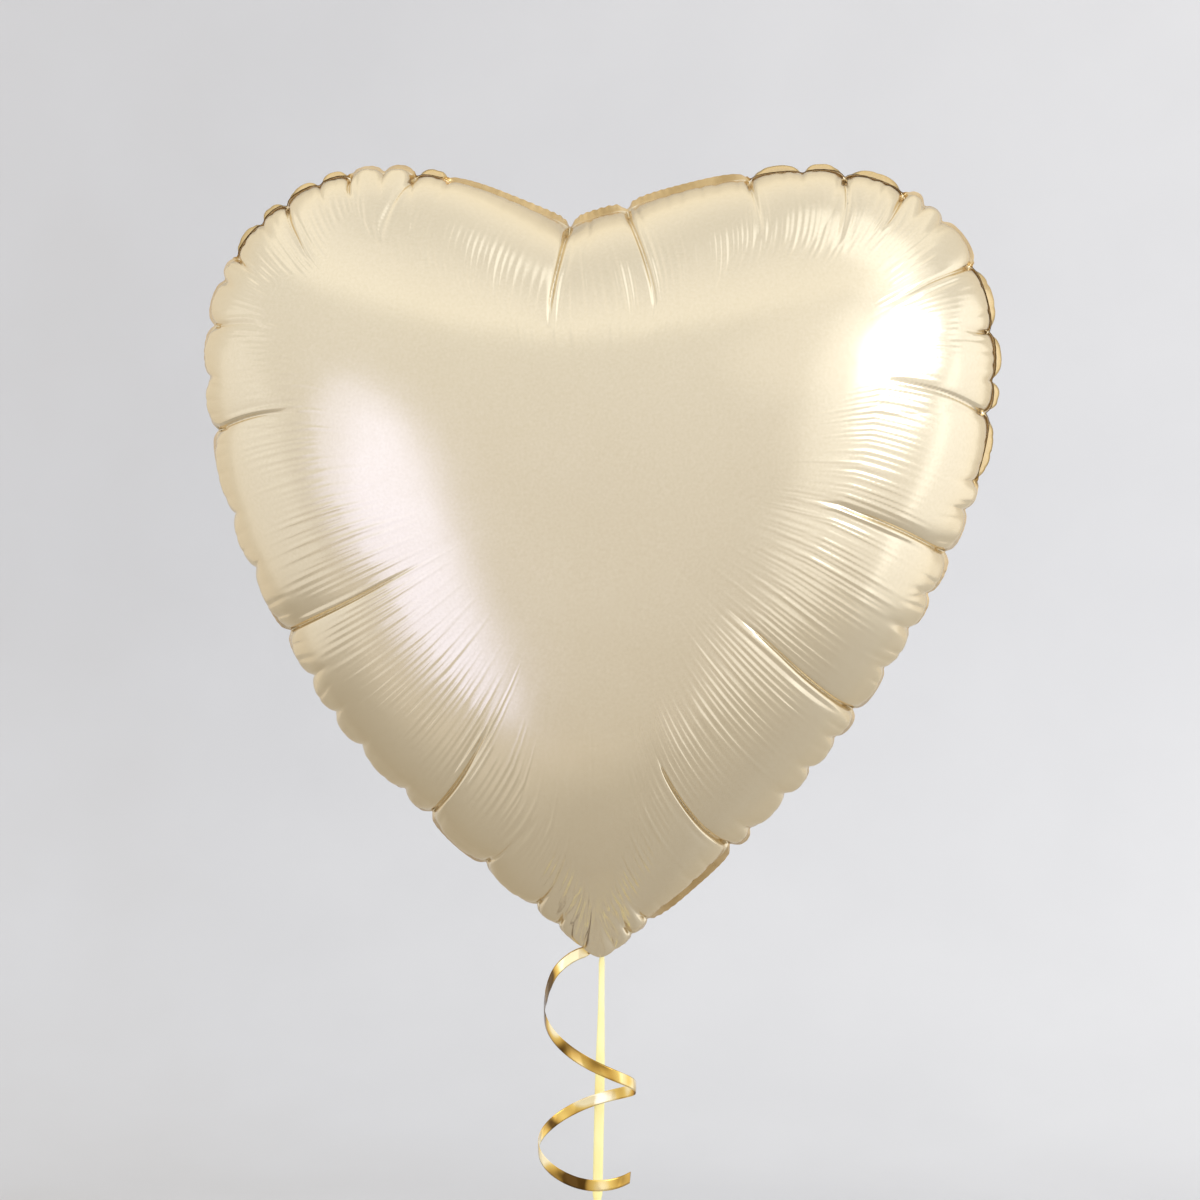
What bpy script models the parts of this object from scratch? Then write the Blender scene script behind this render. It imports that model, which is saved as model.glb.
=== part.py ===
"""Heart-shaped foil balloon: two foil panels sealed round a flange, a one-way valve in a tied neck,
a tail folded up behind, a straight tether ribbon with a hand loop, and a curled ribbon.

Metres, +Z up, the front faces -Y. The seam lies in the plane y = 0, and the origin is the root of the
neck, at the bottom tip of the heart. Every film is drawn thicker than real film, which is 0.05 mm.
"""

import math

import bmesh
import bpy
import numpy as np
from mathutils import Matrix, Vector

MM = 0.001

# Envelope: the heart's outline is the outer edge of the sealed flange.
OUTLINE_MM = [  # cubic Bezier corners and handles, from the cleft clockwise to the tip and back up
    (-13, 325), (20, 335), (60, 348),
    (95, 348), (140, 348), (175, 315),
    (175, 262), (175, 212), (152, 163),
    (118, 112), (88, 68), (12, 0),
    (0, 0), (-11, 0), (-90, 66),
    (-120, 108), (-154, 158), (-175, 212),
    (-175, 262), (-175, 312), (-140, 348),
    (-95, 348), (-62, 348), (-38, 334),
]
TIP_DROP = 12 * MM  # the flange's lowest point lies this far below the neck's root
FLANGE = 5 * MM
HALF_DEPTH = 82 * MM
TIP_TAPERS = [(0.45, 40 * MM), (0.35, 14 * MM)]  # share and reach of the thinning towards the neck
FILM = 0.5 * MM
PANEL_GAP = 0.3 * MM
CENTRE = Vector((0, 0, 0.205))
STEPS_PER_CURVE = 9
RINGS = 15

# Neck, gathered and tied, pointing back from the tip.
NECK_Z = -4.5 * MM
NECK_START, NECK_END = 6.2 * MM, 20.6 * MM
NECK_RADIUS, WAIST_RADIUS = 3.0 * MM, 2.1 * MM
CURL_WRAP_Y, TETHER_WRAP_Y = 10.4 * MM, 16.0 * MM
WRAP_WIDTH, WRAP_THICKNESS, WRAP_CLEARANCE = 3.2 * MM, 0.8 * MM, 0.3 * MM

# Ribbons.
RIBBON_WIDTH = 5 * MM
TETHER_KNOT, TETHER_KNOT_SIZE = Vector((0, 16.0, -10.2)) * MM, Vector((5.6, 5.2, 4.0)) * MM
CURL_KNOT, CURL_KNOT_SIZE = Vector((-2.2, 10.0, -10.2)) * MM, Vector((5.2, 4.8, 4.0)) * MM
TETHER_ROUTE_MM = [  # centre line below the knot
    (0, 16, -12.6), (-0.1, 16, -25), (-0.4, 16.1, -45), (-0.8, 16.1, -65),
    (-1.2, 16, -85), (-1.6, 16, -105), (-2.0, 16, -126.0),
]
LOOP_KNOT_SIZE = Vector((7.0, 6.0, 4.4)) * MM
LOOP_LENGTH, LOOP_HALF_WIDTH, LOOP_BAND = 42 * MM, 14 * MM, 0.6 * MM
CURL_SHAPE_MM = [  # x, y and z of the centre of each level section, then its radius
    (-2.6, 9.6, -12.7, 2.4),
    (-6, 8.2, -19, 4.2),
    (-4.5, -4, -26, 15.5),
    (-2, -10.8, -33, 22.5),
    (-2, -10.8, -114.5, 22.5),
]

# Tail, folded up behind the balloon about a line across the neck's end.
TAIL_HINGE = Vector((0, 22.0 * MM, NECK_Z))
TAIL_LEAN = math.radians(50)  # from straight up, towards the back
TAIL_START, TAIL_LENGTH = 1.4 * MM, 42 * MM
TAIL_ROOT_WIDTH, TAIL_WIDTH = 6 * MM, 27 * MM
TAIL_FILM = 0.4 * MM

# Valve, between the panels above the neck.
VALVE_BOTTOM, VALVE_TOP = 2 * MM, 76 * MM
VALVE_ROOT_WIDTH, VALVE_WIDTH, VALVE_SHOULDER = 8 * MM, 20 * MM, 16 * MM
VALVE_FILM = 0.3 * MM


def clear_scene():
    for obj in list(bpy.data.objects):
        bpy.data.objects.remove(obj)


def material(name, colour, roughness, metallic):
    made = bpy.data.materials.new(name)
    made.use_nodes = True
    shader = made.node_tree.nodes["Principled BSDF"]
    shader.inputs["Base Color"].default_value = (*colour, 1)
    shader.inputs["Roughness"].default_value = roughness
    shader.inputs["Metallic"].default_value = metallic
    return made


def make_object(name, bm, mat, smooth=True):
    mesh = bpy.data.meshes.new(name)
    bmesh.ops.recalc_face_normals(bm, faces=bm.faces)
    bm.to_mesh(mesh)
    bm.free()
    if smooth:
        mesh.shade_smooth()
        mesh.set_sharp_from_angle(angle=math.radians(40))
    mesh.materials.append(mat)
    obj = bpy.data.objects.new(name, mesh)
    bpy.context.collection.objects.link(obj)
    return obj


def pivot(name, place):
    """An empty on a joint's axis. Its children are modelled round it in world coordinates."""
    empty = bpy.data.objects.new(name, None)
    bpy.context.collection.objects.link(empty)
    empty.location = place
    bpy.context.view_layer.update()
    return empty


def hang_on(obj, empty):
    """Parents an object to a pivot and leaves it where it is."""
    obj.parent = empty
    obj.matrix_parent_inverse = empty.matrix_world.inverted()


def heart_outline():
    """Points of the flange's outer edge, in the x, z plane."""
    nodes = [np.array(p, float) * MM for p in OUTLINE_MM]
    points = []
    for i in range(0, len(nodes), 3):
        a, b, c, d = nodes[i], nodes[i + 1], nodes[i + 2], nodes[(i + 3) % len(nodes)]
        for k in range(STEPS_PER_CURVE):
            t = k / STEPS_PER_CURVE
            u = 1 - t
            points.append(u**3 * a + 3 * u * u * t * b + 3 * u * t * t * c + t**3 * d)
    return np.array(points) - (0, TIP_DROP)


def inset(outline, distance):
    """The clockwise outline moved inwards along its normals."""
    along = np.roll(outline, -1, 0) - np.roll(outline, 1, 0)
    along /= np.linalg.norm(along, axis=1)[:, None]
    return outline + distance * np.stack([along[:, 1], -along[:, 0]], 1)


def ring_mesh(seam):
    """Rings that shrink from the seam to the centre, crowded towards the seam, with their faces."""
    middle = np.array((CENTRE.x, CENTRE.z))
    shares = [math.sin(math.pi / 2 * (1 - k / RINGS)) for k in range(RINGS)]
    points = np.concatenate([middle + s * (seam - middle) for s in shares] + [middle[None]])
    n = len(seam)
    faces = []
    for ring in range(RINGS - 1):
        for i in range(n):
            j = (i + 1) % n
            a, b = ring * n + i, ring * n + j
            faces += [(a, b, b + n), (a, b + n, a + n)]
    hub, last = RINGS * n, (RINGS - 1) * n
    faces += [(last + i, last + (i + 1) % n, hub) for i in range(n)]
    return points, np.array(faces)


def membrane(points, faces, fixed):
    """Deflection of a membrane under even pressure, 0 at the first `fixed` points and 1 at its peak."""
    p = points[faces]
    edge = p[:, [2, 0, 1]] - p[:, [1, 2, 0]]
    area = 0.5 * np.abs(edge[:, 0, 0] * edge[:, 1, 1] - edge[:, 0, 1] * edge[:, 1, 0])
    stiffness = np.einsum("fid,fjd->fij", edge, edge) / (4 * area)[:, None, None]
    rows = np.repeat(faces, 3, axis=1).ravel()
    columns = np.tile(faces, (1, 3)).ravel()
    size = len(points)
    load = np.bincount(faces.ravel(), np.repeat(area / 3, 3), size)
    free = np.arange(size) >= fixed

    def times(v):
        return np.bincount(rows, stiffness.ravel() * v[columns], size) * free

    height = np.zeros(size)
    residual = load * free
    direction = residual.copy()
    for _ in range(600):
        pushed = times(direction)
        step = residual @ residual / (direction @ pushed)
        height += step * direction
        fresh = residual - step * pushed
        if fresh @ fresh < 1e-22 * (load @ load):
            break
        direction = fresh + (fresh @ fresh) / (residual @ residual) * direction
        residual = fresh
    return height / height.max()


def foil_profile(deflection):
    """Height of an inflated foil disc where its distance from the middle is sqrt(1 - deflection)."""
    r = np.linspace(0, 1, 400)
    swing = np.arcsin(r**2)  # turns the integral's end point at the rim into a smooth one
    slope = np.sin(swing) ** 0.5 / 2
    steps = (slope[1:] + slope[:-1]) / 2 * np.diff(swing)
    rise = np.concatenate([[0], np.cumsum(steps)])
    height = 1 - rise / rise[-1]
    return np.interp(np.sqrt(np.clip(1 - deflection, 0, 1)), r, height)


def foil_panel(name, side, mat):
    """A domed panel with its flat flange. side is -1 for the front and 1 for the back."""
    outer = heart_outline()
    seam = inset(outer, FLANGE)
    points, faces = ring_mesh(seam)
    height = HALF_DEPTH * foil_profile(membrane(points, faces, len(seam)))
    from_tip = np.hypot(points[:, 0], points[:, 1] + TIP_DROP)
    height *= 1 - sum(share * np.exp(-((from_tip / reach) ** 2)) for share, reach in TIP_TAPERS)
    skin = PANEL_GAP / 2 + FILM
    bm = bmesh.new()
    verts = [
        bm.verts.new((x, side * (skin + h), z)) for (x, z), h in zip(points, height)
    ]
    for face in faces:
        bm.faces.new([verts[i] for i in face])
    rim = [bm.verts.new((x, side * skin, z)) for x, z in outer]
    for i in range(len(rim)):
        j = (i + 1) % len(rim)
        bm.faces.new((rim[i], rim[j], verts[j], verts[i]))
    obj = make_object(name, bm, mat)
    if obj.data.polygons[0].normal.y * side < 0:
        obj.data.flip_normals()
    film = obj.modifiers.new("film", "SOLIDIFY")
    film.thickness = FILM
    film.offset = -1
    film.use_even_offset = True
    film.use_quality_normals = True
    return obj


def turned(profile, steps):
    """A closed solid turned about the y axis from (radius, y) points that start and end on the axis."""
    bm = bmesh.new()
    chain = [bm.verts.new((r, y, 0)) for r, y in profile]
    edges = [bm.edges.new(pair) for pair in zip(chain, chain[1:])]
    bmesh.ops.spin(
        bm, geom=chain + edges, axis=(0, 1, 0), cent=(0, 0, 0), angle=math.tau, steps=steps
    )
    bmesh.ops.remove_doubles(bm, verts=bm.verts, dist=1e-6)
    return bm


def neck_gather(mat):
    """The films of both panels bunched into a stub with a waist under each ribbon's turns."""
    end_radius = 0.8 * NECK_RADIUS
    reach = WRAP_WIDTH / 2 + WRAP_CLEARANCE
    profile = [(0, NECK_START), (end_radius, NECK_START), (NECK_RADIUS, NECK_START + 1.2 * MM)]
    for waist in (CURL_WRAP_Y, TETHER_WRAP_Y):
        profile += [(WAIST_RADIUS, waist - reach), (WAIST_RADIUS, waist + reach)]
        profile.append((NECK_RADIUS, waist + WRAP_WIDTH / 2 + 1.2 * MM))
    profile += [(end_radius, NECK_END), (0, NECK_END)]
    bm = turned(profile, 20)
    bmesh.ops.translate(bm, vec=(0, 0, NECK_Z), verts=bm.verts)
    return make_object("neck_gather", bm, mat)


def ribbon_wrap(name, middle, mat):
    """Turns of ribbon pulled tight round the neck, as one band."""
    inner = WAIST_RADIUS + WRAP_CLEARANCE
    outer = inner + WRAP_THICKNESS
    low, high = middle - WRAP_WIDTH / 2, middle + WRAP_WIDTH / 2
    bm = bmesh.new()
    section = [(inner, low), (outer, low), (outer, high), (inner, high)]
    corners = [bm.verts.new((r, y, 0)) for r, y in section]
    edges = [bm.edges.new((corners[i], corners[(i + 1) % 4])) for i in range(4)]
    bmesh.ops.spin(
        bm, geom=corners + edges, axis=(0, 1, 0), cent=(0, 0, 0), angle=math.tau, steps=24
    )
    bmesh.ops.remove_doubles(bm, verts=bm.verts, dist=1e-6)
    bmesh.ops.translate(bm, vec=(0, 0, NECK_Z), verts=bm.verts)
    return make_object(name, bm, mat)


def knot(name, centre, size, mat):
    """A pulled-tight overhand knot: two ribbon lobes crossed over each other."""
    bm = bmesh.new()
    bmesh.ops.create_icosphere(bm, subdivisions=3, radius=0.5)
    for vert in bm.verts:
        crease = 1 - 0.16 * math.exp(-((vert.co.x - 0.5 * vert.co.z) / 0.13) ** 2)
        vert.co = Vector(c * s for c, s in zip(vert.co * crease, size))
    bmesh.ops.translate(bm, vec=centre, verts=bm.verts)
    return make_object(name, bm, mat)


def tether_ribbon(mat):
    """The straight ribbon's space, as a tube of the ribbon's width."""
    curve = bpy.data.curves.new("tether_ribbon", "CURVE")
    curve.dimensions = "3D"
    curve.bevel_depth = RIBBON_WIDTH / 2
    curve.bevel_resolution = 2
    curve.use_fill_caps = True
    spline = curve.splines.new("POLY")
    spline.points.add(len(TETHER_ROUTE_MM) - 1)
    for point, place in zip(spline.points, TETHER_ROUTE_MM):
        point.co = (*(c * MM for c in place), 1)
    curve.materials.append(mat)
    obj = bpy.data.objects.new("tether_ribbon", curve)
    bpy.context.collection.objects.link(obj)
    return obj


def hand_loop(top, mat):
    """A teardrop loop of ribbon that hangs from its knot, its band lying fore and aft."""
    turns = 36
    centre_line = []
    for k in range(turns):
        angle = math.tau * k / turns
        depth = (1 - math.cos(angle)) / 2
        swell = 1.2 * math.sin(angle) * math.sin(angle / 2)
        centre_line.append(Vector((LOOP_HALF_WIDTH * swell, 0, -LOOP_LENGTH * depth)))
    bm = bmesh.new()
    rings = []
    for k, place in enumerate(centre_line):
        along = centre_line[(k + 1) % turns] - centre_line[k - 1]
        out = Vector((along.z, 0, -along.x)).normalized() * (LOOP_BAND / 2)
        across = Vector((0, RIBBON_WIDTH / 2, 0))
        rings.append(
            [bm.verts.new(top + place + a + b) for a, b in
             ((out, across), (out, -across), (-out, -across), (-out, across))]
        )
    for k, ring in enumerate(rings):
        after = rings[(k + 1) % turns]
        for i in range(4):
            j = (i + 1) % 4
            bm.faces.new((ring[i], ring[j], after[j], after[i]))
    return make_object("hand_loop", bm, mat)


def curl_ribbon(mat):
    """The outer shape of the curled ribbon: a fat tube that narrows up to the knot."""
    sides = 28
    bm = bmesh.new()
    rings = []
    for station in CURL_SHAPE_MM:
        x, y, z, radius = (value * MM for value in station)
        place = Matrix.Translation((x, y, z))
        ring = bmesh.ops.create_circle(bm, segments=sides, radius=radius, matrix=place)["verts"]
        rings.append(ring)
    for upper, lower in zip(rings, rings[1:]):
        for i in range(sides):
            j = (i + 1) % sides
            bm.faces.new((upper[i], upper[j], lower[j], lower[i]))
    bm.faces.new(rings[0])
    bm.faces.new(rings[-1])
    return make_object("curl_ribbon", bm, mat)


def flat_film(name, outline, low, high, mat):
    """A film in its own x, z plane, from y = low to y = high."""
    bm = bmesh.new()
    face = bm.faces.new([bm.verts.new((x, low, z)) for x, z in outline])
    raised = bmesh.ops.extrude_face_region(bm, geom=[face])["geom"]
    moved = [v for v in raised if isinstance(v, bmesh.types.BMVert)]
    bmesh.ops.translate(bm, vec=(0, high - low, 0), verts=moved)
    return make_object(name, bm, mat, smooth=False)


def valve_outline(shrink=0.0):
    half, root = VALVE_WIDTH / 2 - shrink, VALVE_ROOT_WIDTH / 2 - shrink
    return [
        (-root, VALVE_BOTTOM), (root, VALVE_BOTTOM), (half, VALVE_BOTTOM + VALVE_SHOULDER),
        (half, VALVE_TOP), (-half, VALVE_TOP), (-half, VALVE_BOTTOM + VALVE_SHOULDER),
    ]


def valve_films(mat):
    """Two films welded along their long edges on the real valve, drawn with the gap that the gas opens."""
    gap = PANEL_GAP / 2
    flat_film("valve_front_film", valve_outline(), -gap - VALVE_FILM, -gap, mat)
    flat_film("valve_back_film", valve_outline(), gap, gap + VALVE_FILM, mat)


def tail_outline(start, end, margin):
    """A fan that widens from the tie and has rounded lower corners."""
    def half(z):
        share = (z - TAIL_START) / (TAIL_LENGTH - TAIL_START)
        widening = 1 - (1 - min(share / 0.6, 1)) ** 2
        return (TAIL_ROOT_WIDTH + (TAIL_WIDTH - TAIL_ROOT_WIDTH) * widening) / 2 - margin

    heights = [start + (end - start) * k / 8 for k in range(9)]
    right = [(half(z), z) for z in heights]
    right[-1] = (right[-1][0] - 3 * MM, end)
    right.insert(-1, (half(end), end - 3 * MM))
    return right + [(-x, z) for x, z in reversed(right)]


def tail_films(foil, clear):
    """The tail's two films with the valve's mouth between them, leaning back from the hinge."""
    lean = pivot("tail_hinge", TAIL_HINGE)
    gap = PANEL_GAP / 2
    inner = gap + VALVE_FILM
    outer = inner + PANEL_GAP
    mouth = tail_outline(TAIL_START + 2 * MM, TAIL_LENGTH * 0.55, 1.5 * MM)
    whole = tail_outline(TAIL_START, TAIL_LENGTH, 0)
    films = [
        flat_film("tail_front_film", whole, outer, outer + TAIL_FILM, foil),
        flat_film("tail_back_film", whole, -outer - TAIL_FILM, -outer, foil),
        flat_film("tail_valve_front", mouth, gap, inner, clear),
        flat_film("tail_valve_back", mouth, -inner, -gap, clear),
    ]
    for film in films:
        film.parent = lean
    lean.rotation_euler = (-TAIL_LEAN, 0, 0)


def tether(mat):
    """The straight ribbon below its wrap, which swings from its knot and ends in a hand loop."""
    hang = pivot("tether_hang", TETHER_KNOT)
    hang_on(knot("tether_knot", TETHER_KNOT, TETHER_KNOT_SIZE, mat), hang)
    hang_on(tether_ribbon(mat), hang)
    centre = Vector(TETHER_ROUTE_MM[-1]) * MM - Vector((0, 0, LOOP_KNOT_SIZE.z / 2 + 0.3 * MM))
    hang_on(knot("loop_knot", centre, LOOP_KNOT_SIZE, mat), hang)
    loop_top = centre - Vector((0, 0, LOOP_KNOT_SIZE.z / 2 + 0.6 * MM))
    hang_on(hand_loop(loop_top, mat), pivot("loop_hang", centre))


def curl(mat):
    """The curled ribbon below its wrap, which swings from its knot."""
    hang = pivot("curl_hang", CURL_KNOT)
    hang_on(knot("curl_knot", CURL_KNOT, CURL_KNOT_SIZE, mat), hang)
    hang_on(curl_ribbon(mat), hang)


def build():
    clear_scene()
    foil = material("satin_foil", (0.86, 0.78, 0.60), 0.32, 0.9)
    clear = material("valve_film", (0.93, 0.93, 0.90), 0.25, 0.0)
    pale = material("pale_ribbon", (0.95, 0.90, 0.55), 0.45, 0.0)
    gold = material("gold_ribbon", (0.83, 0.60, 0.20), 0.15, 1.0)

    foil_panel("front_panel", -1, foil)
    foil_panel("back_panel", 1, foil)
    neck_gather(foil)
    valve_films(clear)
    ribbon_wrap("curl_wrap", CURL_WRAP_Y, gold)
    ribbon_wrap("tether_wrap", TETHER_WRAP_Y, pale)
    tail_films(foil, clear)
    tether(pale)
    curl(gold)


build()
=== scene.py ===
"""Looks of the heart-shaped foil balloon: creased satin film, crimped seam, tied neck and two ribbons."""

import math

import bpy
import numpy as np
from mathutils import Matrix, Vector


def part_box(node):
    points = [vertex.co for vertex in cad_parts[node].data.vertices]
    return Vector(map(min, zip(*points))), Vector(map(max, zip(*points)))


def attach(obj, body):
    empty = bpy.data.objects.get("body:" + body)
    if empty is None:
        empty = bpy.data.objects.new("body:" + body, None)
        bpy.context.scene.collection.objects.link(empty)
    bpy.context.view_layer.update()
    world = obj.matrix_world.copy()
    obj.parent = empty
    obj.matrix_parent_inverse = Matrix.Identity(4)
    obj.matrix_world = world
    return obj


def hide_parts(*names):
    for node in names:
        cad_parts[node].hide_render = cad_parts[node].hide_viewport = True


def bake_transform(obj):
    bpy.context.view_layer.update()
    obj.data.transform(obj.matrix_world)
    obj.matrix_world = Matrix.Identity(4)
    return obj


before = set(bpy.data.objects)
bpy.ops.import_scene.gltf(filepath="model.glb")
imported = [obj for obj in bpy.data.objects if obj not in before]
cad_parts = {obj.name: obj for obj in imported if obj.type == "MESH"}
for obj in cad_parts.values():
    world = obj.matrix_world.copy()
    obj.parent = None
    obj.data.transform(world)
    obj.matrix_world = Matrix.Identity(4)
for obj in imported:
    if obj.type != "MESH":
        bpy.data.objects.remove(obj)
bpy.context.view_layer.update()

MM = 0.001

# Camera: a little right of straight in front, and a little above.
VIEW_CENTRE = Vector((0, 0, 0.1454))
VIEW_AZIMUTH, VIEW_ELEVATION = math.radians(3), math.radians(3.5)
VIEW_DISTANCE, VIEW_HALF_WIDTH = 2.0, 0.2638

# The envelope's outline, as in the CAD source: Bezier corners and handles, clockwise from the cleft.
OUTLINE_MM = [
    (-13, 325), (20, 335), (60, 348),
    (95, 348), (140, 348), (175, 315),
    (175, 262), (175, 212), (152, 163),
    (118, 112), (88, 68), (12, 0),
    (0, 0), (-11, 0), (-90, 66),
    (-120, 108), (-154, 158), (-175, 212),
    (-175, 262), (-175, 312), (-140, 348),
    (-95, 348), (-62, 348), (-38, 334),
]
TIP_DROP = 12 * MM
FLANGE = 5 * MM
HALF_DEPTH = 82 * MM
TIP_TAPERS = [(0.45, 40 * MM), (0.35, 14 * MM)]
CENTRE = np.array((0, 0.205))

# Kinds of lobe: FULL hides the sealed strip, which leans back behind it. On PEEK the strip is twisted
# forwards and the back panel bulges past the front one. On FLAT the strip lies flat and is all shown.
# The lists below have one entry for each kind, in this order.
FULL, PEEK, FLAT = 0, 1, 2
PUFFS = [(2.0 * MM, 0.2 * MM), (0.3 * MM, 6.0 * MM), (0.8 * MM, 0.4 * MM)]  # of the front and the back panel
FLANGE_LEAN = [math.radians(72), math.radians(-80), math.radians(44)]
FLANGE_SHOWN = [1.0, 0.45, 1.0]  # share of the strip's width that isn't crumpled
FOLD_LEAN = math.radians(70)  # at the folds either side of a flat lobe
CRIMP = [0.08 * MM, 0.05 * MM, 0.32 * MM]
SEAM_RISE = [1.3 * MM, 0.3 * MM, -0.6 * MM]
CRIMP_PITCH = 3.4 * MM
SEAM_OUT, NOTCH = 2.1 * MM, 1.0 * MM
TIP_CALM = 8 * MM, 42 * MM  # nearer the tip than the first the seam is smooth, beyond the second it isn't
TIP_PUSH, TIP_PUSH_REACH = 4.2 * MM, 17 * MM  # the sealed tip stands out further than the rest of the seam

# Creases where the seam is pulled in, clockwise from the cleft, in mm. Each has its x and z on the rim, how
# far it reaches inwards (dx, dz), how deep it is, and the kind of the lobe after it.
CREASES_MM = [
    (-13, 312, -5, -43, 3.0, FLAT), (12, 316, 15, -47, 2.4, FLAT), (65, 330, 5, -25, 1.8, PEEK),
    (107, 331, -3, -30, 2.2, PEEK), (133, 323, -9, -14, 1.4, FULL), (164, 293, -31, -13, 1.6, PEEK),
    (170, 263, -12, 1, 1.2, PEEK), (166, 228, -43, 15, 2.6, PEEK), (151, 167, -50, 24, 2.8, FULL),
    (111, 98, -48, 45, 3.0, FULL), (56, 39, -27, 44, 3.0, FLAT), (20, 5, -9, 14, 1.1, FULL),
    (13, -1, -7, 12, 1.8, FULL), (7, -8, -4, 9, 1.3, FULL), (-10, -10, 3, 11, 0.8, FULL),
    (-19, 1, 9, 15, 1.4, FULL), (-26, 13, 15, 23, 1.8, FULL), (-49, 31, 24, 24, 1.6, FULL),
    (-73, 53, 31, 43, 2.8, FULL), (-136, 132, 55, 28, 3.0, FULL), (-167, 220, 41, 10, 2.4, FULL),
    (-172, 266, 26, 1, 1.8, FULL), (-164, 298, 8, -6, 1.2, PEEK), (-138, 319, 15, -24, 2.2, PEEK),
    (-110, 333, 2, -9, 1.2, FULL), (-81, 331, -10, -27, 2.0, PEEK),
]
# Mere notches between two lobes: x and z on the rim, and the kind of the lobe after it.
NOTCHES_MM = [
    (88, 335, PEEK), (144, 321, FULL), (152, 314, FULL), (170, 242, PEEK), (164, 198, FULL),
    (159, 186, FULL), (145, 148, FULL), (137, 133, FULL), (127, 115, FULL), (107, 82, FULL),
    (98, 67, FULL), (87, 55, FULL), (70, 41, FULL), (-87, 61, FULL), (-104, 82, FULL),
    (-116, 96, FULL), (-126, 112, FULL), (-152, 159, FULL), (-159, 184, FULL), (-174, 243, FULL),
    (-171, 288, FULL), (-150, 312, PEEK), (-124, 329, PEEK), (-95, 334, FULL), (-66, 330, FLAT),
]

# Long creases: the broad valley's reach to each side, the sharp fold's width, and how blunt its bottom is.
VALLEY_REACH, CREASE_WIDTH, CREASE_BLUNT = 6 * MM, 0.55 * MM, 0.18 * MM
# Fine ripples and the short puckers at the rim: the least and the most of each size, in mm.
RIPPLE_PITCH, RIPPLE_HEIGHT, RIPPLE_WIDTH = (2.2, 3.5), (0.19, 0.44), (0.65, 1.0)
PUCKER_PITCH, PUCKER_DEPTH, PUCKER_WIDTH, PUCKER_REACH = (5, 12), (0.1, 0.5), (0.9, 1.7), (5, 14)

# Fineness of each panel's mesh. Columns crowd together round each crease.
COLUMNS, COLUMN_SHARE = 2192, 4  # the membrane is solved on every fourth column
CROWDING, CROWD_REACH = 1.5, 6 * MM
RIM_ROWS, BAND_ROWS, MIDDLE_ROWS = 11, 22, 9
FLANGE_ROWS = 4
SEAM_SAMPLES, RING_SAMPLES = 3000, 6000
RIM_SHARE, BAND_SHARE, MIDDLE_SHARE = 0.053, 0.40, 0.585  # of the way from the rim to the middle

# Neck, ribbons and tail, as in the CAD source.
NECK_Z = -4.5 * MM
RIBBON_WIDTH, RIBBON_THICKNESS = 5 * MM, 0.2 * MM
KNOTTED_SHARE = 0.34  # of a ribbon's width, where a knot draws it together
KNOT_SWELL, KNOT_RISE = 1.3, 0.8 * MM  # so that each knot meets the turns or the ribbon beside it
TETHER_KNOT, CURL_KNOT = Vector((0, 16.0, -10.2)) * MM, Vector((-2.2, 10.0, -10.2)) * MM
TETHER_ROUTE_MM = [
    (0, 16, -12.6), (-0.1, 16, -25), (-0.4, 16.1, -45), (-0.8, 16.1, -65),
    (-1.2, 16, -85), (-1.6, 16, -105), (-2.0, 16, -126.0),
]
CURL_PASSES = [  # turns made so far, and the height in mm
    (-0.02, -11.6), (0.05, -13.6), (0.145, -19.5), (0.2, -26.5), (0.25, -33.5), (0.5, -54.5),
    (0.75, -68.5), (1.0, -79.0), (1.25, -94.5), (1.5, -108.0), (1.72, -106.5),
]
CURL_RADIUS, CURL_CENTRE_X = (20.3, 21.5), (-3.2, -5.1)  # in mm, at first and after a turn
CURL_CENTRE_Y = -10.8  # mm
NECK_STATIONS = [  # y, radius in mm, depth of the pleats as a share of the radius
    (0.6, 2.4, 0.05), (2.4, 3.8, 0.09), (4.2, 4.5, 0.13), (6.0, 3.9, 0.16), (7.6, 3.0, 0.17),
    (8.6, 2.2, 0.12), (10.4, 2.0, 0.08), (12.2, 2.2, 0.12), (13.2, 2.8, 0.18), (14.2, 2.2, 0.12),
    (16.0, 2.0, 0.08), (17.6, 2.1, 0.10), (18.6, 2.1, 0.10),
]
NECK_COLUMNS, NECK_ROWS = 240, 120
TAIL_HINGE = Vector((0, 22.0 * MM, NECK_Z))
TAIL_LEAN, TAIL_LENGTH = math.radians(50), 42  # the length in mm
VALVE_MOUTH = 2.6, 23.5  # mm out from the hinge where the valve's films start and end
VALVE_SPREAD = 24

# Linear colours: each foil's darker and lighter tone, and its tint at grazing angles.
CHAMPAGNE = (0.745, 0.655, 0.490), (0.785, 0.700, 0.540), (0.93, 0.84, 0.68)
BACK_GOLD = (0.655, 0.500, 0.285), (0.710, 0.555, 0.335), (0.88, 0.76, 0.52)
# Painted light and shade: the floor is darker beneath and behind the balloon as painted shade, and the wall
# is lighter on its right as if lit from there.
# The sweep, from the floor's front edge to below the balloon, then the wall's left and right sides.
ROOM_PAINTED_LIGHT_TONES = [
    (0.00, (0.68, 0.64, 0.59)), (0.11, (0.53, 0.495, 0.445)), (0.19, (0.50, 0.465, 0.415)),
    (0.32, (0.48, 0.45, 0.41)), (0.78, (0.672, 0.675, 0.692)), (1.00, (0.80, 0.803, 0.82)),
]
# The light from all round, from straight below to straight above.
AIR_TONES = [
    (0.00, (0.54, 0.50, 0.45)), (0.09, (0.66, 0.62, 0.57)), (0.20, (0.78, 0.74, 0.69)),
    (0.38, (0.84, 0.81, 0.78)), (0.52, (0.93, 0.91, 0.89)), (0.785, (0.97, 0.96, 0.94)),
    (0.825, (1.22, 1.21, 1.17)), (0.93, (1.10, 1.09, 1.07)), (1.00, (0.95, 0.94, 0.92)),
]
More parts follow.
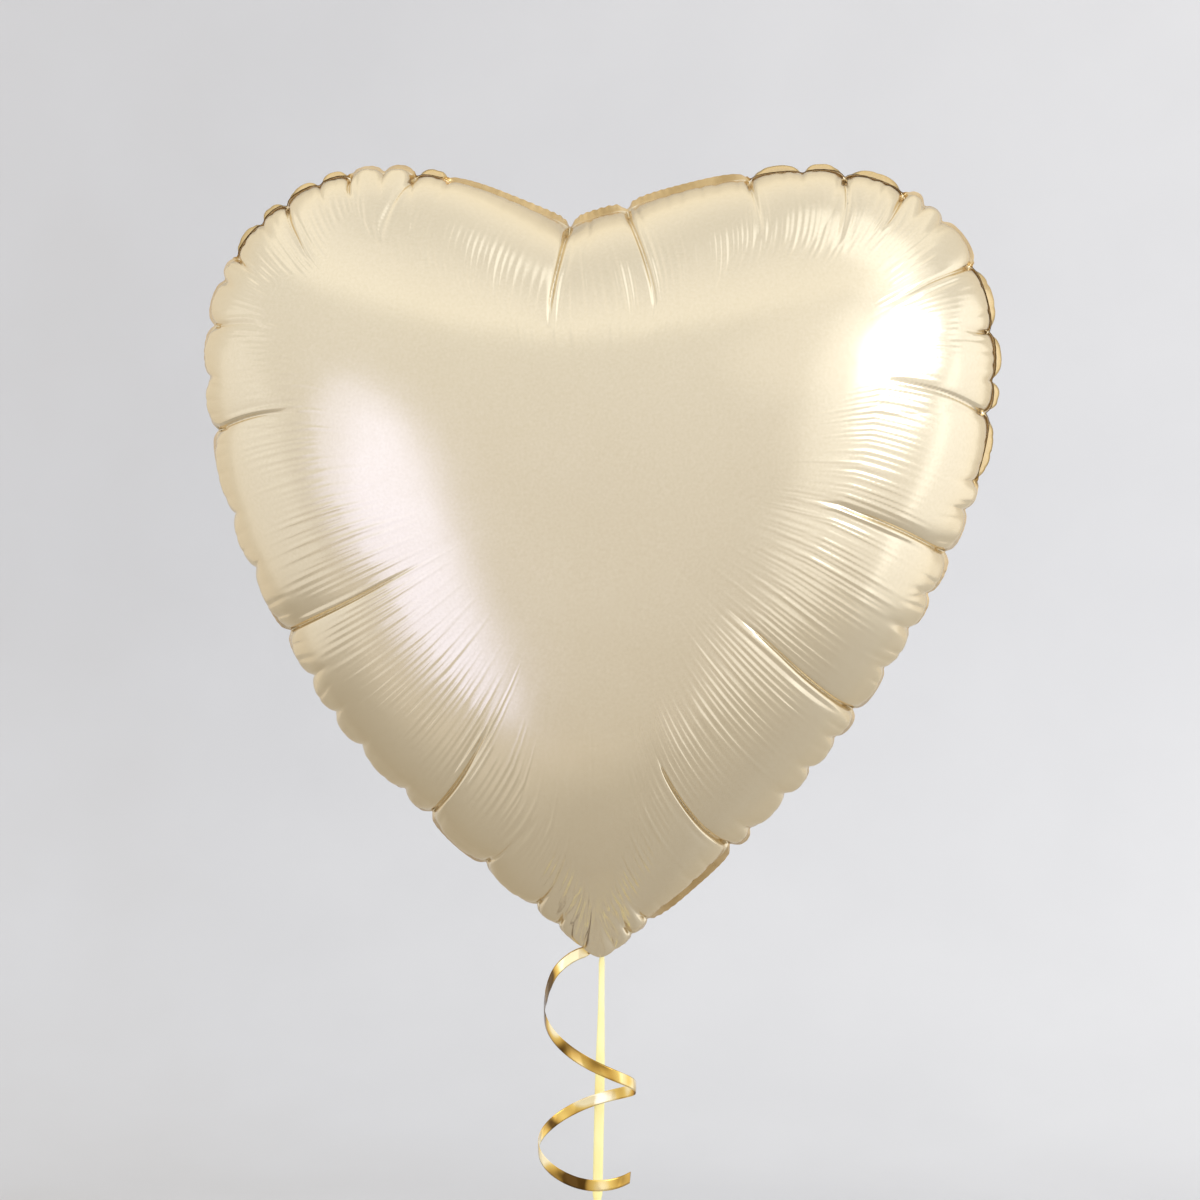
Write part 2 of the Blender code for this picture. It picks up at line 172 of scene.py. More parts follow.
# Each light: its azimuth and elevation in degrees, its distance and size in metres, how bright, its colour.
LIGHTS = [
    ("key_right", 62, 15, 2.2, (1.2, 0.85), 4.2, (0.84, 0.91, 1.0)),
    ("glow_right", 62, 4, 2.5, (3.2, 3.6), 0.30, (0.86, 0.92, 1.0)),
    ("glow_far_right", 112, -16, 2.5, (2.4, 3.4), 0.50, (0.84, 0.91, 1.0)),
    ("glow_upper", 27, 24, 2.4, (1.2, 0.9), 0.12, (1.0, 1.0, 1.0)),
    ("glow_left", -98, -14, 2.5, (2.4, 3.0), 0.14, (0.80, 0.88, 1.0)),
    ("window_left", -32.5, -12, 2.4, (1.0, 1.75), 0.42, (0.47, 0.54, 1.0)),
    ("window_left_wide", -37, -14, 2.45, (1.6, 2.5), 0.50, (0.47, 0.54, 1.0)),
    ("ceiling_right", 70, 58, 2.0, (0.8, 1.8), 0.42, (0.85, 0.92, 1.0)),
]
LIGHT_SPREAD = 1.12  # an ellipse this much wider than the panel it stands for
LIT_POINT = Vector((0, 0, 0.18))


def make_camera():
    away = Vector((
        math.sin(VIEW_AZIMUTH) * math.cos(VIEW_ELEVATION),
        -math.cos(VIEW_AZIMUTH) * math.cos(VIEW_ELEVATION),
        math.sin(VIEW_ELEVATION),
    ))
    data = bpy.data.cameras.new("camera")
    data.sensor_width = 36
    data.lens = data.sensor_width / 2 * VIEW_DISTANCE / VIEW_HALF_WIDTH
    camera = bpy.data.objects.new("camera", data)
    bpy.context.collection.objects.link(camera)
    camera.location = VIEW_CENTRE + VIEW_DISTANCE * away
    camera.rotation_euler = away.to_track_quat("Z", "Y").to_euler()
    bpy.context.scene.camera = camera


# ---- meshes


def mesh_object(name, points, quads, materials, tags=None):
    """A smooth mesh from an array of points and its faces, with a material number for each face."""
    mesh = bpy.data.meshes.new(name)
    mesh.from_pydata(points.tolist(), [], [tuple(face) for face in quads])
    for material in materials:
        mesh.materials.append(material)
    if tags is not None:
        mesh.polygons.foreach_set("material_index", np.asarray(tags, np.int32))
    mesh.shade_smooth()
    mesh.update()
    obj = bpy.data.objects.new(name, mesh)
    bpy.context.collection.objects.link(obj)
    return obj


def grid_faces(columns, rows, closed):
    """Quads of a grid whose points are numbered column by column."""
    last = columns if closed else columns - 1
    i = np.arange(last)[:, None] * rows
    j = np.arange(rows - 1)[None]
    after = ((np.arange(last) + 1) % columns)[:, None] * rows
    return np.stack([i + j, after + j, after + j + 1, i + j + 1], -1).reshape(-1, 4)


def hub_fan(columns, rows):
    """Triangles from a closed grid's last row to one more point, numbered after all of the grid's."""
    last = np.arange(columns) * rows + rows - 1
    return np.stack([last, np.roll(last, -1), np.full(columns, columns * rows)], 1)


def smoothstep(x):
    x = np.clip(x, 0, 1)
    return x * x * (3 - 2 * x)


def bell(x):
    """1 at 0, falling away smoothly to either side."""
    return np.exp(-(x**2))


def unit(v):
    return v / np.maximum(np.linalg.norm(v, axis=-1, keepdims=True), 1e-12)


def smooth_round(values, sigma):
    """Gaussian smoothing round a closed ring, with sigma in samples."""
    n = len(values)
    wave = np.fft.rfft(values, axis=0)
    k = np.arange(len(wave)) * math.tau / n
    damp = np.exp(-((k * sigma) ** 2) / 2)
    return np.fft.irfft(wave * damp.reshape(-1, *[1] * (values.ndim - 1)), n, axis=0)


def stands_for(obj, body, node):
    """Has a piece ride on a body in place of one CAD solid."""
    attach(obj, body)
    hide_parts(node)


# ---- envelope


def outline_points(steps=60):
    nodes = [np.array(p, float) * MM for p in OUTLINE_MM]
    t = np.arange(steps)[:, None] / steps
    parts = []
    for i in range(0, len(nodes), 3):
        a, b, c, d = (nodes[(i + k) % len(nodes)] for k in range(4))
        parts.append((1 - t) ** 3 * a + 3 * (1 - t) ** 2 * t * b + 3 * (1 - t) * t * t * c + t**3 * d)
    return np.concatenate(parts) - (0, TIP_DROP)


def inward_normals(ring):
    along = unit(np.roll(ring, -1, 0) - np.roll(ring, 1, 0))
    return np.stack([along[:, 1], -along[:, 0]], 1)


def resampled(at, known, values, length):
    """Pairs of values that are known at some distances round a closed ring, read at other distances."""
    return np.stack([np.interp(at, known, values[:, k], period=length) for k in (0, 1)], 1)


def ring_lengths(ring):
    """Distance round the closed ring to each point, and the whole way round."""
    reach = np.cumsum(np.linalg.norm(np.roll(ring, -1, 0) - ring, axis=1))
    return np.concatenate([[0], reach[:-1]]), reach[-1]


def seam_ring():
    """The seam, one strip's width inside the outline, evenly spaced, with its sharp turns eased."""
    outer = outline_points()
    ring = outer + FLANGE * inward_normals(outer)
    reach, length = ring_lengths(ring)
    even = np.linspace(0, length, SEAM_SAMPLES, endpoint=False)
    ring = resampled(even, reach, ring, length)
    return smooth_round(ring, 1.6 * MM * SEAM_SAMPLES / length)


def crowded_ring(ring):
    """Points round the closed ring, crowded at each crease, with their distances round it."""
    reach, length = ring_lengths(ring)
    even = np.linspace(0, length, RING_SAMPLES)
    weight = np.ones(RING_SAMPLES)
    for x, z, *_ in CREASES_MM:
        start = reach[np.argmin(np.hypot(ring[:, 0] - x * MM, ring[:, 1] - z * MM))]
        gap = (even - start + length / 2) % length - length / 2
        weight += CROWDING * bell(gap / CROWD_REACH)
    total = np.concatenate([[0], np.cumsum((weight[1:] + weight[:-1]) / 2)])
    at = np.interp(np.linspace(0, total[-1], COLUMNS, endpoint=False), total, even)
    return resampled(at, reach, ring, length), at, length


def middle_distance(ring, inward, step=3, most=150):
    """How far in from each point of the ring the far side is as near as the point. Steps are in mm."""
    reach = np.full(len(ring), most * MM)
    open_still = np.ones(len(ring), bool)
    for travel in np.arange(step, most, step) * MM:
        place = ring + inward * travel
        nearest = np.linalg.norm(place[:, None] - ring[None], axis=2).min(1)
        met = open_still & (nearest < 0.97 * travel)
        reach[met] = travel
        open_still &= ~met
    return reach


def row_positions():
    """Places along a grid line from the rim, 0, to the middle, 1, crowded where the surface is steep."""
    rim = RIM_SHARE * (np.arange(RIM_ROWS) / RIM_ROWS) ** 2
    band = np.linspace(RIM_SHARE, BAND_SHARE, BAND_ROWS, endpoint=False)
    middle = BAND_SHARE + MIDDLE_SHARE * (np.arange(MIDDLE_ROWS) / (MIDDLE_ROWS - 1)) ** 1.15
    return np.concatenate([rim, band, middle])


def plan_grid():
    """The flat layout of a panel: grid lines that leave the seam squarely and bend to the middle."""
    ring, at, length = crowded_ring(seam_ring())
    normal = inward_normals(ring)
    even = np.linspace(0, length, COLUMNS, endpoint=False)
    sigma = COLUMNS / length
    inward = smooth_round(resampled(even, at, normal, length), 7 * MM * sigma)
    inward = unit(resampled(at, even, inward, length))
    coarse = slice(None, None, 8)
    handle = np.interp(even, at[coarse], 0.5 * middle_distance(ring[coarse], inward[coarse]), period=length)
    handle = np.interp(at, even, smooth_round(handle, 8 * MM * sigma), period=length)
    v = row_positions()[None, :, None]
    bend = (ring + inward * handle[:, None])[:, None]
    plan = (1 - v) ** 2 * ring[:, None] + 2 * v * (1 - v) * bend + v * v * CENTRE
    return plan, at, length, inward


def membrane(points, faces, fixed):
    """Deflection of a membrane under even pressure, 0 at the fixed points and 1 at its peak."""
    p = points[faces]
    edge = p[:, [2, 0, 1]] - p[:, [1, 2, 0]]
    area = 0.5 * np.abs(edge[:, 0, 0] * edge[:, 1, 1] - edge[:, 0, 1] * edge[:, 1, 0])
    stiffness = np.einsum("fid,fjd->fij", edge, edge) / (4 * area)[:, None, None]
    rows, columns = np.repeat(faces, 3, axis=1).ravel(), np.tile(faces, (1, 3)).ravel()
    size, weight = len(points), stiffness.ravel()
    free = ~fixed
    load = np.bincount(faces.ravel(), np.repeat(area / 3, 3), size) * free
    diagonal = np.bincount(faces.ravel(), np.einsum("fii->fi", stiffness).ravel(), size)
    height = np.zeros(size)
    residual = load.copy()
    eased = residual / diagonal
    direction = eased.copy()
    power = residual @ eased
    for _ in range(2500):
        pushed = np.bincount(rows, weight * direction[columns], size) * free
        step = power / (direction @ pushed)
        height += step * direction
        residual = residual - step * pushed
        if residual @ residual < 1e-14 * (load @ load):
            break
        eased = residual / diagonal
        fresh = residual @ eased
        direction = eased + fresh / power * direction
        power = fresh
    return height / height.max()


def foil_profile(deflection):
    """Height of an inflated foil disc where its distance from the middle is sqrt(1 - deflection)."""
    r = np.linspace(0, 1, 2000)
    swing = np.arcsin(r**2)
    slope = np.sin(swing) ** 0.5 / 2
    rise = np.concatenate([[0], np.cumsum((slope[1:] + slope[:-1]) / 2 * np.diff(swing))])
    return np.interp(np.sqrt(np.clip(1 - deflection, 0, 1)), r, 1 - rise / rise[-1])


def dome_heights(plan, at, length):
    """Height of the smooth inflated dome over every point of the plan."""
    coarse = plan[::COLUMN_SHARE]
    n, m = coarse.shape[:2]
    quads = grid_faces(n, m, True)
    triangles = np.concatenate([quads[:, [0, 1, 2]], quads[:, [0, 2, 3]]])
    hub = n * m
    points = np.vstack([coarse.reshape(-1, 2), CENTRE])
    fixed = np.zeros(hub + 1, bool)
    fixed[np.arange(n) * m] = True
    deflection = membrane(points, np.concatenate([triangles, hub_fan(n, m)]), fixed)
    peak = deflection[hub]
    deflection = deflection[:hub].reshape(n, m)
    fine = np.stack([np.interp(at, at[::COLUMN_SHARE], row, period=length) for row in deflection.T], 1)
    fine = smooth_round(fine, 3.0)
    fine[:, 0] = 0
    return HALF_DEPTH * foil_profile(fine) * tip_taper(plan), HALF_DEPTH * foil_profile(peak)


def tip_taper(plan):
    from_tip = np.hypot(plan[..., 0], plan[..., 1] + TIP_DROP)
    return 1 - sum(share * bell(from_tip / reach) for share, reach in TIP_TAPERS)


class Rim:
    """The seam's ring, with every fold's place on it."""

    def __init__(self, plan, at, length):
        self.plan, self.at, self.length = plan, at, length
        steps = np.linalg.norm(np.diff(plan, axis=1), axis=2)
        self.depth = np.concatenate([np.zeros((COLUMNS, 1)), np.cumsum(steps, axis=1)], 1)
        width = np.linalg.norm(np.roll(plan, -1, 0) - np.roll(plan, 1, 0), axis=2)
        self.squeeze = width / ((np.roll(at, -1) - np.roll(at, 1)) % length)[:, None]
        near, far = TIP_CALM
        from_tip = np.hypot(plan[:, 0, 0], plan[:, 0, 1] + TIP_DROP)
        self.rough = 0.25 + 0.75 * smoothstep((from_tip - near) / (far - near))
        self.ripple_gain = 1 + 1.5 * bell(from_tip / (90 * MM))
        self.tip_push = TIP_PUSH * bell(from_tip / TIP_PUSH_REACH)
        self.folds = [self.place(*crease) for crease in CREASES_MM]
        self.folds += [self.place(x, z, 0, 0, 0, kind) for x, z, kind in NOTCHES_MM]
        self.folds.sort(key=lambda fold: fold["at"])

    def place(self, x, z, dx, dz, depth, kind):
        start = np.array((x, z)) * MM
        column = int(np.argmin(np.linalg.norm(self.plan[:, 0] - start, axis=1)))
        fold = {"at": self.at[column], "depth": depth * MM, "kind": kind}
        fold["reach"], fold["drift"] = 0.0, 0.0
        if depth:
            end = self.plan[column, 0] + np.array((dx, dz)) * MM
            gap = np.linalg.norm(self.plan - end, axis=2)
            i, j = np.unravel_index(np.argmin(gap), gap.shape)
            fold["reach"] = self.depth[i, j]
            fold["drift"] = self.wrap(self.at[i] - fold["at"]) / self.depth[i, j]
        return fold

    def wrap(self, gap):
        return (gap + self.length / 2) % self.length - self.length / 2

    def across(self, at, drift, window):
        """Distance across a crease that starts at `at`, for the columns near it."""
        near = self.wrap(self.at - at)
        columns = np.flatnonzero(np.abs(near) < window)
        return columns, (near[columns, None] - drift * self.depth[columns]) * self.squeeze[columns]

    def lobes(self, folds):
        """Each column's place between the folds either side, -1 to 1, the earlier's number, and the gap."""
        starts = np.array([fold["at"] for fold in folds])
        number = np.searchsorted(starts, self.at, side="right") - 1
        begin = starts[number]
        end = starts[(number + 1) % len(starts)]
        gap = (end - begin) % self.length
        return ((self.at - begin) % self.length) / gap * 2 - 1, number, gap


def between(rim, folds, values):
    """A value given at each fold, carried smoothly round the rim."""
    at = np.array([fold["at"] for fold in folds])
    return smooth_round(np.interp(rim.at, at, values, period=rim.length), 6 * MM * COLUMNS / rim.length)


def add_creases(rim, lift, rng, back):
    """The long creases: a broad valley with a sharp fold along its bottom, dying out inwards."""
    for fold in rim.folds:
        if not fold["depth"]:
            continue
        reach = fold["reach"] * (rng.uniform(0.75, 1.25) if back else 1)
        depth = fold["depth"] * (rng.uniform(0.7, 1.2) if back else 1)
        columns, gap = rim.across(fold["at"], fold["drift"], 30 * MM + abs(fold["drift"]) * reach)
        down = rim.depth[columns] / reach
        fade = np.clip(1 - down**2, 0, 1)
        broad = np.exp(-np.abs(gap) / VALLEY_REACH)
        gap = gap - 0.5 * MM * np.sin(down * 6 + fold["at"] / (9 * MM)) * down
        width = CREASE_WIDTH * (1 + 1.6 * abs(fold["drift"]))
        narrow = np.exp(-(np.sqrt(gap**2 + CREASE_BLUNT**2) - CREASE_BLUNT) / width)
        ridge = bell((gap - 1.9 * MM) / (1.0 * MM))
        second = bell((gap - 4.0 * MM) / (0.8 * MM))
        lift[columns] += depth * (-0.40 * broad * fade - 0.62 * narrow * fade**0.5)
        along_it = smoothstep(down / 0.3) * smoothstep((1.15 - down) / 0.4)
        lift[columns] += 0.35 * MM * (ridge - 0.6 * second) * along_it


def add_lobes(rim, lift, along, side):
    """Puffs between the folds: small lobes near the rim, and long ones that reach further in."""
    place, number, _ = rim.lobes(rim.folds)
    puff = np.array([PUFFS[fold["kind"]][side] for fold in rim.folds])
    start = 1 - np.exp(-along / (3 * MM))
    arc = 1 - np.abs(place) ** (3 if side else 2)
    lift += (puff[number] * arc)[:, None] * start * bell(along / (12 * MM))
    long_folds = [fold for fold in rim.folds if fold["depth"]]
    place, number, gap = rim.lobes(long_folds)
    swell = 0.02 * gap * (1 - place**2)
    reach = between(rim, long_folds, [fold["reach"] for fold in long_folds])
    lift += swell[:, None] * start * bell(rim.depth / (0.75 * reach[:, None] + 4 * MM))


def add_ripples(rim, lift, rng):
    """Fine ripples side by side, strongest where the smooth middle begins and fading towards the rim."""
    long_folds = [fold for fold in rim.folds if fold["depth"]]
    reach = between(rim, long_folds, [1.08 * fold["reach"] + 7 * MM for fold in long_folds])
    drift = between(rim, long_folds, [fold["drift"] for fold in long_folds])
    strength = between(rim, long_folds, [fold["depth"] for fold in long_folds]) / (2.6 * MM)
    at = 0.0
    while at < rim.length - 2 * MM:
        column = int(np.searchsorted(rim.at, at)) % COLUMNS
        end = reach[column] * rng.uniform(0.82, 1.08)
        start = end * rng.uniform(0.0, 0.35)
        height = rim.ripple_gain[column] * (0.5 + 0.5 * strength[column]) * rng.uniform(*RIPPLE_HEIGHT) * MM
        width = rng.uniform(*RIPPLE_WIDTH) * MM
        lean = drift[column] + rng.normal(0, 0.012)
        columns, gap = rim.across(at, lean, 7 * MM + abs(lean) * end)
        down = (rim.depth[columns] - start) / (end - start)
        shape = smoothstep(down / 0.55) * smoothstep((1 - down) / 0.2)
        ridge = bell(gap / width) - 0.45 * bell(gap / (2.1 * width))
        lift[columns] += height * ridge * shape
        at += rng.uniform(*RIPPLE_PITCH) * MM


def add_puckers(rim, lift, rng):
    """Short creases that start in the notches and between them, right at the rim."""
    at = 0.0
    while at < rim.length - 2 * MM:
        end = rng.uniform(*PUCKER_REACH) * MM
        columns, gap = rim.across(at, rng.normal(0, 0.15), 9 * MM)
        fade = np.clip(1 - rim.depth[columns] / end, 0, 1)
        width = rng.uniform(*PUCKER_WIDTH) * MM
        lift[columns] -= rng.uniform(*PUCKER_DEPTH) * MM * bell(gap / width) * fade
        at += rng.uniform(*PUCKER_PITCH) * MM
    for fold in rim.folds:
        end = rng.uniform(5, 11) * MM
        columns, gap = rim.across(fold["at"], rng.normal(0, 0.2), 9 * MM)
        fade = np.clip(1 - rim.depth[columns] / end, 0, 1)
        lift[columns] -= 0.8 * MM * np.exp(-np.abs(gap) / (1.0 * MM)) * fade


def seam_shift(rim, rng):
    """How far the seam itself is moved outwards, and forwards or back, at each column."""
    place, number, _ = rim.lobes(rim.folds)
    rise = np.array([SEAM_RISE[fold["kind"]] for fold in rim.folds])[number]
    out = SEAM_OUT + rise * (1 - place**2) * rim.rough + rim.tip_push
    for fold in rim.folds:
        gap = np.abs(rim.wrap(rim.at - fold["at"]))
        out -= (0.45 * fold["depth"] + NOTCH) * np.exp(-gap / (2.0 * MM)) * rim.rough
    wave = rng.uniform(-1.5, 1.5, len(rim.folds)) * MM
    across = wave[number] * (1 - place**2) * rim.rough
    return smooth_round(np.stack([out, across], 1), 0.8)


def surface_lift(rim, along, side, seed):
    """How far the lobes, creases and ripples of one panel stand off its smooth dome."""
    rng = np.random.default_rng(seed)
    lift = np.zeros(rim.plan.shape[:2])
    add_lobes(rim, lift, along, 0 if side < 0 else 1)
    add_creases(rim, lift, rng, side > 0)
    add_puckers(rim, lift, rng)
    add_ripples(rim, lift, rng)
    return lift * ((1 - np.exp(-along / (1.5 * MM))) * rim.rough[:, None] ** 0.35)


def panel(name, side, rim, heights, peak, inward, materials, seed):
    """One inflated panel with its half of the crimped flange. side is -1 for the front and 1 for the back."""
    plan = rim.plan
    base = np.stack([plan[..., 0], side * (heights + 0.1 * MM), plan[..., 1]], 2)
    steps = np.linalg.norm(np.diff(base, axis=1), axis=2)
    along = np.concatenate([np.zeros((COLUMNS, 1)), np.cumsum(steps, axis=1)], 1)
    round_rim = np.roll(base, -1, 0) - np.roll(base, 1, 0)
    inwards = np.gradient(base, axis=1)
    normal = unit(np.cross(round_rim, inwards)) * side
    lift = surface_lift(rim, along, side, seed)
    shift = seam_shift(rim, np.random.default_rng(5))
    outward = np.stack([-inward[:, 0], np.zeros(COLUMNS), -inward[:, 1]], 1)
    moved = outward * shift[:, :1] + np.array((0, 1, 0)) * shift[:, 1:]
    places = base + normal * lift[..., None] + moved[:, None] * np.exp(-along / (13 * MM))[..., None]
    flange = flange_rows(rim, places[:, 0], outward, side)
    whole = np.concatenate([flange, places], 1)
    n, m = whole.shape[:2]
    quads = grid_faces(n, m, True)
    points = np.vstack([whole.reshape(-1, 3), (CENTRE[0], side * (peak + 0.1 * MM), CENTRE[1])])
    faces = [tuple(q) for q in quads] + [tuple(t) for t in hub_fan(n, m)]
    if side > 0:
        faces = [face[::-1] for face in faces]
    tags = np.zeros(len(faces), np.int32)
    tags[: len(quads)].reshape(n, m - 1)[:, :FLANGE_ROWS] = 1
    return mesh_object(name, points, faces, materials, tags)


def flange_rows(rim, seam, outward, side):
    """Rows of the sealed strip, outermost first, creased across and leaning back, or forwards on PEEK."""
    rng = np.random.default_rng(11)
    place, number, _ = rim.lobes(rim.folds)
    lean = np.array([FLANGE_LEAN[fold["kind"]] + rng.uniform(-0.12, 0.12) for fold in rim.folds])[number]
    flat = np.array([fold["kind"] == FLAT for fold in rim.folds])[number]
    lean = smooth_round(lean + flat * (FOLD_LEAN - lean) * np.abs(place) ** 3, 2.5)
    lean = math.pi / 2 + (lean - math.pi / 2) * rim.rough
    direction = outward * np.cos(lean)[:, None] + np.array((0, 1, 0)) * np.sin(lean)[:, None]
    normal = np.array((0, 1, 0)) * np.cos(lean)[:, None] - outward * np.sin(lean)[:, None]
    phase = rim.at / CRIMP_PITCH * math.tau
    phase += 2.2 * np.sin(rim.at / (23 * MM)) + 1.3 * np.sin(rim.at / (8.7 * MM) + 1)
    size = np.array([CRIMP[fold["kind"]] for fold in rim.folds])[number]
    crimp = smooth_round(size, 3) * (0.6 + 0.4 * np.sin(rim.at / (17 * MM) + 0.6)) * np.sin(phase)
    width = smooth_round(np.array([FLANGE_SHOWN[fold["kind"]] for fold in rim.folds])[number], 3)
    pinched = sum(bell(rim.wrap(rim.at - fold["at"]) / (2 * MM)) for fold in rim.folds)
    width *= FLANGE * (1 - 0.5 * pinched)
    rows = []
    for k in range(FLANGE_ROWS, 0, -1):
        share = k / FLANGE_ROWS
        row = seam + direction * (width * share)[:, None] + normal * (crimp * share)[:, None]
        if k == FLANGE_ROWS:
            row = row - normal * (side * 0.1 * MM)
        rows.append(row)
    return np.stack(rows, 1)


def envelope(foil, seal, gold_foil):
    plan, at, length, inward = plan_grid()
    rim = Rim(plan, at, length)
    heights, peak = dome_heights(plan, at, length)
    front = panel("front_foil", -1, rim, heights, peak, inward, [foil, seal], 21)
    back = panel("back_foil", 1, rim, heights, peak, inward, [gold_foil, seal], 34)
    for obj, node in ((front, "front_panel"), (back, "back_panel")):
        stands_for(obj, "envelope", node)


# ---- ribbons


def smooth_path(points, count):
    """A Catmull-Rom curve through the points, evenly spaced along its length."""
    p = np.array(points, float)
    p = np.vstack([2 * p[0] - p[1], p, 2 * p[-1] - p[-2]])
    t = np.linspace(0, 1, 24, endpoint=False)[:, None]
    parts = []
    for a, b, c, d in zip(p, p[1:], p[2:], p[3:]):
        parts.append(0.5 * (2 * b + (c - a) * t + (2 * a - 5 * b + 4 * c - d) * t**2
                            + (3 * b - a - 3 * c + d) * t**3))
    dense = np.vstack([*parts, p[-2:-1]])
    reach = np.concatenate([[0], np.cumsum(np.linalg.norm(np.diff(dense, axis=0), axis=1))])
    at = np.linspace(0, reach[-1], count)
    return np.stack([np.interp(at, reach, dense[:, k]) for k in range(p.shape[1])], 1)


def drawn_in(path, at_start, at_end, reach):
    """Share of a ribbon's width at each point of its path, where its ends are drawn together into knots."""
    run = np.concatenate([[0], np.cumsum(np.linalg.norm(np.diff(path, axis=0), axis=1))])
    share = np.ones(len(path))
    for drawn, distance in ((at_start, run), (at_end, run[-1] - run)):
        if drawn:
            share *= KNOTTED_SHARE + (1 - KNOTTED_SHARE) * smoothstep(distance / reach)
    return share


def ribbon(name, path, across, material, width=RIBBON_WIDTH, thickness=RIBBON_THICKNESS, gutter=0.0,
           closed=False, cut=0.0, spread=None):
    """A closed strip that follows a path, with its width along `across` at each of the path's points."""
    lanes = 9
    if closed:
        tangent = unit(np.roll(path, -1, 0) - np.roll(path, 1, 0))
    else:
        tangent = unit(np.gradient(path, axis=0))
    across = unit(across - tangent * np.sum(across * tangent, 1, keepdims=True))
    normal = np.cross(tangent, across)
    place = np.linspace(-1, 1, lanes)
    section = [(s, 0.5, 1 - s * s) for s in place] + [(s, -0.5, 1 - s * s) for s in place[::-1]]
    spread = np.ones(len(path)) if spread is None else spread
    half_width = (spread * width / 2)[:, None]
    hollow = (gutter + (1 - spread) * 0.2 * width)[:, None]
    rings = []
    for s, half, bow in section:
        edge = 0.35 if abs(s) == 1 else 1.0
        skew = np.zeros(len(path))
        skew[-1] = cut * s
        rings.append(path + across * s * half_width + normal * (half * edge * thickness + hollow * bow)
                     + tangent * skew[:, None])
    points = np.stack(rings, 1)
    n, m = points.shape[:2]
    last = n if closed else n - 1
    i, j = np.arange(last)[:, None], np.arange(m)[None]
    quads = np.stack([i * m + j, i * m + (j + 1) % m, (i + 1) % n * m + (j + 1) % m,
                      (i + 1) % n * m + j], -1).reshape(-1, 4)
    faces = [tuple(q) for q in quads]
    if not closed:
        faces += [tuple(range(m))[::-1], tuple((n - 1) * m + k for k in range(m))]
    return mesh_object(name, points.reshape(-1, 3), faces, [material])


def gold_curl(material):
    """The curled ribbon: turns of a coil, drawn through listed heights of its passes."""
    run_per_turn = 40  # mm, so that the points along the route come out evenly spaced
    route = smooth_path(np.array(CURL_PASSES) * (run_per_turn, 1), 360)
    turn, z = route[:, 0] / run_per_turn, route[:, 1] * MM
    radius = np.interp(smoothstep(turn / 1.2), (0, 1), CURL_RADIUS) * MM
    cx = np.interp(smoothstep(turn), (0, 1), CURL_CENTRE_X) * MM
    swing = turn * math.tau
    path = np.stack([cx - radius * np.sin(swing), CURL_CENTRE_Y * MM + radius * np.cos(swing), z], 1)
    top = np.array(CURL_KNOT) + np.array((-0.6, -0.3, -0.8)) * MM
    path = path + (top - path[0]) * (1 - smoothstep(turn / 0.18))[:, None]
    path = smooth_path(path[::6], 420)
    upright = np.tile(np.array((0.0, 0.0, 1.0)), (len(path), 1))
    obj = ribbon("gold_curl", path, upright, material, thickness=0.15 * MM, gutter=0.12 * MM, cut=0.8 * MM,
                 spread=drawn_in(path, True, False, 6 * MM))
    stands_for(obj, "curl", "curl_ribbon")
    return obj, path


def knot_centre(node):
    low, high = (np.array(v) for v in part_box(node))
    return (low + high) / 2


def straight_tether(material):
    ends = np.array(TETHER_KNOT), knot_centre("loop_knot")
    path = smooth_path(np.vstack([ends[0], np.array(TETHER_ROUTE_MM) * MM, ends[1]]), 240)
    down = np.linspace(0, 1, len(path))
    twist = np.radians(58 - 32 * smoothstep(down * 1.1) + 5 * np.sin(9 * down))
    across = np.stack([np.cos(twist), np.sin(twist), np.zeros(len(path))], 1)
    obj = ribbon("straight_tether", path, across, material, gutter=0.45 * MM,
                 spread=drawn_in(path, True, True, 8 * MM))
    stands_for(obj, "tether", "tether_ribbon")
    return obj, path


def band_loop(material):
    """The hand loop: a teardrop of ribbon hanging from its knot."""
    low, high = (np.array(v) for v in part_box("hand_loop"))
    top = np.array(((low[0] + high[0]) / 2, (low[1] + high[1]) / 2, high[2] + 1.4 * MM))
    length = top[2] - low[2] - 0.3 * MM
    half = (high[0] - low[0]) / 2 / 0.93
    angle = np.linspace(0, math.tau, 160, endpoint=False)
    swell = 1.2 * np.sin(angle) * np.sin(angle / 2)
    path = np.stack([half * swell, np.zeros(160), -length * (1 - np.cos(angle)) / 2], 1) + top
    across = np.stack([0.12 * np.sin(angle), np.ones(160), 0.1 * np.cos(angle)], 1)
    obj = ribbon("loop_band", path, across, material, closed=True, thickness=0.25 * MM, gutter=0.25 * MM)
    stands_for(obj, "loop", "hand_loop")
    return obj


def tied_knot(name, node, body, material, lean, rise=0.0):
    """A pulled-tight overhand knot: the ribbon, bunched narrow, wound once through itself."""
    low, high = (np.array(v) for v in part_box(node))
    centre, size = (low + high) / 2 + (0, 0, rise), (high - low) / 2
    t = np.linspace(0, math.tau, 140, endpoint=False)
    path = np.stack([
        (np.sin(t) + 0.95 * np.sin(2 * t + 0.4)) * 0.36,
        -0.50 * np.sin(3 * t + lean),
        (np.cos(t) - 0.95 * np.cos(2 * t)) * 0.38,
    ], 1) * size * KNOT_SWELL + centre
    outward = unit((path - centre) / size)
    across = smooth_round(np.cross(unit(np.roll(path, -1, 0) - np.roll(path, 1, 0)), outward), 3.0)
    obj = ribbon(name, path, across, material, width=0.9 * float(size.min()), thickness=0.9 * MM,
                 gutter=0.2 * MM, closed=True)
    stands_for(obj, body, node)
    return obj


